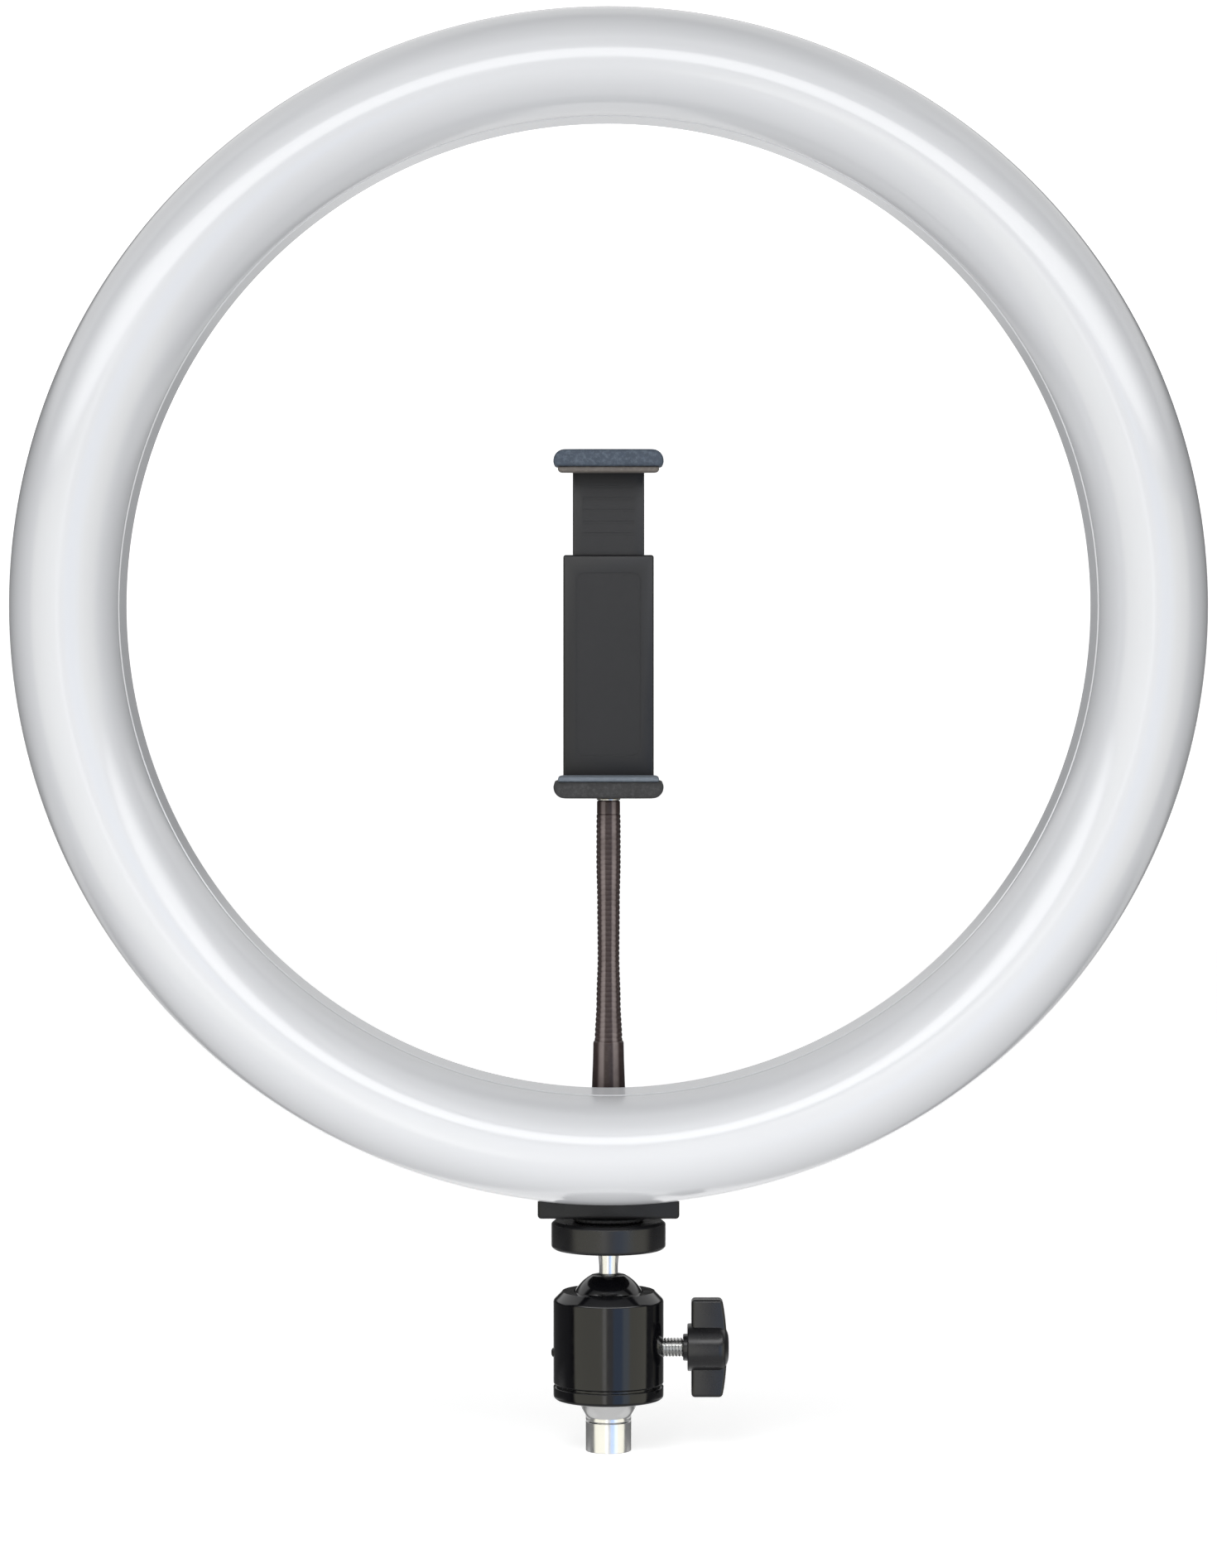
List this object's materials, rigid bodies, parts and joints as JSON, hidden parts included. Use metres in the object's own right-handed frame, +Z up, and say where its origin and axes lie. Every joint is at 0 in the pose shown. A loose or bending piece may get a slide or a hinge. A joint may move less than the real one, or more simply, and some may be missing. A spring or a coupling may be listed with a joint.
{
  "type": "ring light",
  "caption": "Round dome-fronted ring light on a mini ball head with a winged clamp knob, a bendable arm and a spring phone clamp in its centre.",
  "frame": {"origin": "centre of the lower end of the post, where the stand's tube is cut", "axes": "+Z up along the post, the light faces -Y, +X to the right seen from in front, the clamp knob at +X"},
  "size_m": [0.3, 0.0463, 0.3641],
  "materials": {
    "milky_plastic": "gloss",
    "matte_black": "matte",
    "satin_black": "satin",
    "black_metal": "gloss",
    "chrome": "polished",
    "zinc_steel": "bright",
    "brass": "turned",
    "neck_cover": "satin ribbed",
    "blue_grey_rubber": "mottled soft rubber",
    "dark_grey_rubber": "mottled soft rubber",
    "black_rubber": "matte",
    "nylon": "moulded",
    "board": "coated",
    "green_board": "coated"
  },
  "bodies": {
    "post": {"post_tube": "chrome", "post_adapter": "chrome"},
    "head": {"base_cap": "black_metal", "ball_housing": "black_metal", "brake_shoe": "nylon", "stop_pin": "black_metal"},
    "clamp_screw": {"clamp_screw": "zinc_steel"},
    "knob": {"knob": "satin_black"},
    "ball_seat": {"ball_seat": "nylon"},
    "ball": {"ball": "black_metal", "ball_stem": "chrome"},
    "lock_pad": {"lock_pad": "black_rubber"},
    "lock_wheel": {"lock_wheel": "satin_black"},
    "ring_head": {"diffuser": "milky_plastic", "back_cover": "matte_black", "led_board": "board", "control_board": "green_board", "power_socket": "zinc_steel", "led_lead": "black_rubber", "case_screw_1": "zinc_steel", "case_screw_2": "zinc_steel", "case_screw_3": "zinc_steel", "case_screw_4": "zinc_steel", "case_screw_5": "zinc_steel", "case_screw_6": "zinc_steel", "mount_bracket": "matte_black", "bracket_screw_left": "zinc_steel", "bracket_screw_right": "zinc_steel", "thread_insert": "brass", "neck_collar": "neck_cover", "neck_segment_0": "neck_cover"},
    "button_power": {"button_power": "black_rubber"},
    "button_colour": {"button_colour": "black_rubber"},
    "button_brighter": {"button_brighter": "black_rubber"},
    "button_dimmer": {"button_dimmer": "black_rubber"},
    "neck_1": {"neck_segment_1": "neck_cover"},
    "neck_2": {"neck_segment_2": "neck_cover"},
    "neck_3": {"neck_segment_3": "neck_cover"},
    "neck_4": {"neck_segment_4": "neck_cover"},
    "neck_5": {"neck_segment_5": "neck_cover"},
    "neck_6": {"neck_segment_6": "neck_cover", "neck_top_fitting": "zinc_steel"},
    "clamp": {"clamp_body": "dark_grey_rubber", "clamp_cover": "matte_black", "clamp_cover_screw_1": "zinc_steel", "clamp_cover_screw_2": "zinc_steel", "clamp_insert": "brass", "lower_pad": "dark_grey_rubber", "clamp_spring": "zinc_steel"},
    "jaw": {"clamp_slider": "blue_grey_rubber", "upper_pad": "blue_grey_rubber"}
  },
  "joints": [
    {"name": "head_pan", "type": "hinge", "parent": "post", "child": "head", "pos_m": [0, 0, 0.0132], "axis": [0, 0, 1], "continuous": true},
    {"name": "clamp_screw_travel", "type": "slide", "parent": "head", "child": "clamp_screw", "axis": [1, 0, 0], "range_m": [0, 0.0012]},
    {"name": "knob_turn", "type": "hinge", "parent": "clamp_screw", "child": "knob", "pos_m": [0.0189, 0, 0.0261], "axis": [1, 0, 0], "range_deg": [0, 541]},
    {"name": "ball_pan", "type": "hinge", "parent": "head", "child": "ball_seat", "pos_m": [0, 0, 0.0359], "axis": [0, 0, 1], "continuous": true},
    {"name": "ball_tilt", "type": "hinge", "parent": "ball_seat", "child": "ball", "pos_m": [0, 0, 0.0359], "axis": [1, 0, 0], "range_deg": [-35, 35]},
    {"name": "lock_pad_travel", "type": "slide", "parent": "ball", "child": "lock_pad", "axis": [0, 0, 1], "range_m": [-0.000985, 0]},
    {"name": "lock_wheel_turn", "type": "hinge", "parent": "lock_pad", "child": "lock_wheel", "pos_m": [0, 0, 0.0543], "axis": [0, 0, 1], "range_deg": [-280, 0]},
    {"name": "ring_swivel", "type": "hinge", "parent": "ball", "child": "ring_head", "pos_m": [0, 0, 0.0596], "axis": [0, 0, 1], "range_deg": [-180, 180]},
    {"name": "press_power", "type": "slide", "parent": "ring_head", "child": "button_power", "axis": [0, -1, 0], "range_m": [0, 0.0006], "stiffness_N_per_m": 100},
    {"name": "press_colour", "type": "slide", "parent": "ring_head", "child": "button_colour", "axis": [0, -1, 0], "range_m": [0, 0.0006], "stiffness_N_per_m": 100},
    {"name": "press_brighter", "type": "slide", "parent": "ring_head", "child": "button_brighter", "axis": [0, -1, 0], "range_m": [0, 0.0006], "stiffness_N_per_m": 100},
    {"name": "press_dimmer", "type": "slide", "parent": "ring_head", "child": "button_dimmer", "axis": [0, -1, 0], "range_m": [0, 0.0006], "stiffness_N_per_m": 100},
    {"name": "neck_bend_1_fore_aft", "type": "hinge", "parent": "ring_head", "child": "neck_1", "pos_m": [0, 0, 0.108], "axis": [1, 0, 0], "range_deg": [-15, 15]},
    {"name": "neck_bend_2_side", "type": "hinge", "parent": "neck_1", "child": "neck_2", "pos_m": [0, 0, 0.117], "axis": [0, 1, 0], "range_deg": [-15, 15]},
    {"name": "neck_bend_3_fore_aft", "type": "hinge", "parent": "neck_2", "child": "neck_3", "pos_m": [0, 0, 0.126], "axis": [1, 0, 0], "range_deg": [-15, 15]},
    {"name": "neck_bend_4_side", "type": "hinge", "parent": "neck_3", "child": "neck_4", "pos_m": [0, 0, 0.135], "axis": [0, 1, 0], "range_deg": [-15, 15]},
    {"name": "neck_bend_5_fore_aft", "type": "hinge", "parent": "neck_4", "child": "neck_5", "pos_m": [0, 0, 0.144], "axis": [1, 0, 0], "range_deg": [-15, 15]},
    {"name": "neck_bend_6_side", "type": "hinge", "parent": "neck_5", "child": "neck_6", "pos_m": [0, 0, 0.153], "axis": [0, 1, 0], "range_deg": [-15, 15]},
    {"name": "clamp_swivel", "type": "hinge", "parent": "neck_6", "child": "clamp", "pos_m": [0, 0, 0.1655], "axis": [0, 0, 1], "range_deg": [-180, 180]},
    {"name": "jaw_slide", "type": "slide", "parent": "clamp", "child": "jaw", "axis": [0, 0, 1], "range_m": [-0.02, 0.012], "stiffness_N_per_m": 250, "deforming": ["clamp_spring"]}
  ],
  "couplings": [
    {"joint": "knob_turn", "follows": "clamp_screw_travel", "rad_per_m": 7854},
    {"joint": "lock_wheel_turn", "follows": "lock_pad_travel", "rad_per_m": 4947.4}
  ]
}
